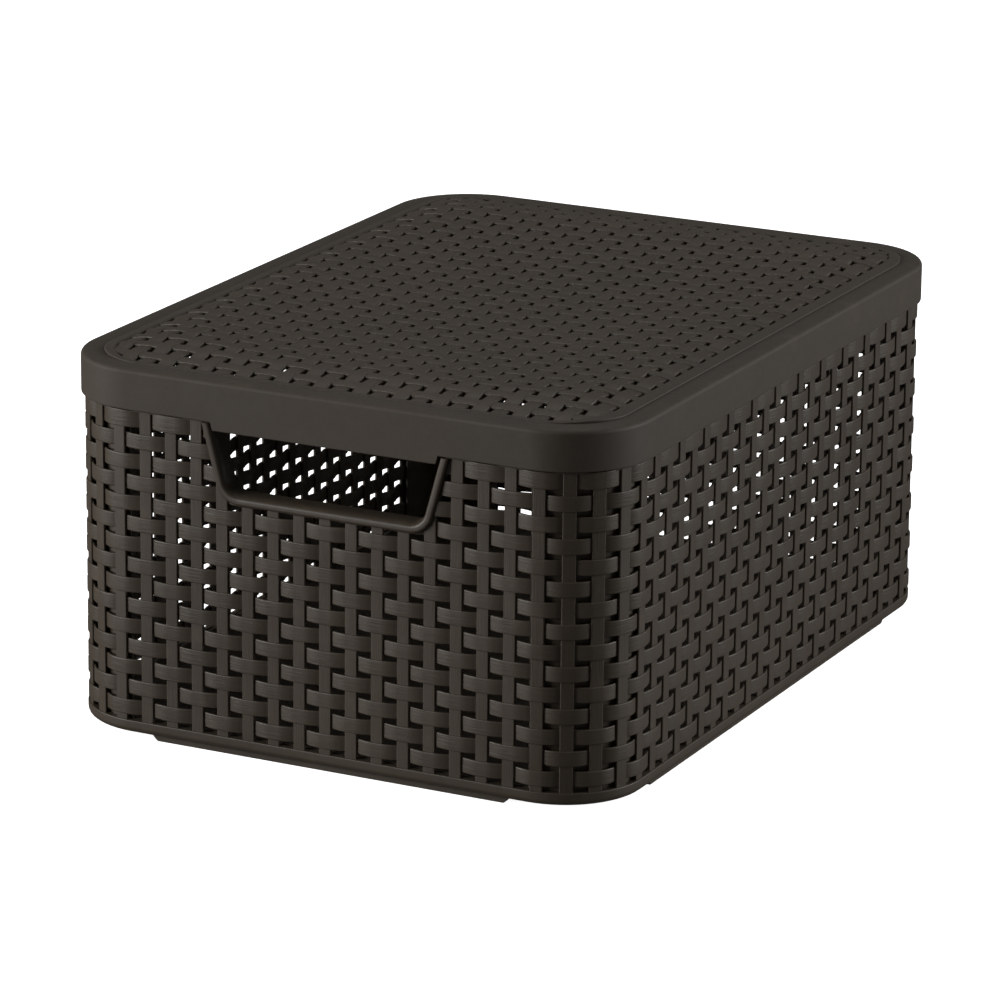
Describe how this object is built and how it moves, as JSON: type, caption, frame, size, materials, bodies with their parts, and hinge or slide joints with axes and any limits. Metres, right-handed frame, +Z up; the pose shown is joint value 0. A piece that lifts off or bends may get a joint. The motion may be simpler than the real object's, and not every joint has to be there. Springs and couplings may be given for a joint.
{
  "type": "lidded storage box",
  "caption": "Rectangular open-weave look storage box in dark brown moulded plastic, with a handle opening in each end and a loose lift-off lid.",
  "frame": {"origin": "centre of the footprint, on the surface that the feet stand on", "axes": "+X across the box, +Y along it from the front handle end to the back one, +Z up"},
  "size_m": [0.29, 0.393, 0.184],
  "materials": {
    "tub_plastic": "satin moulded, dark espresso brown",
    "lid_plastic": "satin moulded, dark espresso brown"
  },
  "bodies": {
    "tub": {"floor_plate": "tub_plastic", "base_band": "tub_plastic", "foot_front": "tub_plastic", "foot_back": "tub_plastic", "foot_left": "tub_plastic", "foot_right": "tub_plastic", "wall_front_lower": "tub_plastic", "wall_front_upper_left": "tub_plastic", "wall_front_upper_right": "tub_plastic", "wall_back_lower": "tub_plastic", "wall_back_upper_left": "tub_plastic", "wall_back_upper_right": "tub_plastic", "wall_left": "tub_plastic", "wall_right": "tub_plastic", "corner_front_left": "tub_plastic", "corner_front_right": "tub_plastic", "corner_back_left": "tub_plastic", "corner_back_right": "tub_plastic", "tub_rim": "tub_plastic", "handle_lip_front": "tub_plastic", "handle_lip_back": "tub_plastic"},
    "lid": {"lid_panel": "lid_plastic", "lid_border": "lid_plastic", "lid_skirt": "lid_plastic", "lid_tongue_front": "lid_plastic", "lid_tongue_back": "lid_plastic"}
  },
  "joints": [
    {"name": "lid_lift", "type": "slide", "parent": "tub", "child": "lid", "axis": [0, 0, 1], "range_m": [0, 0.12]}
  ]
}
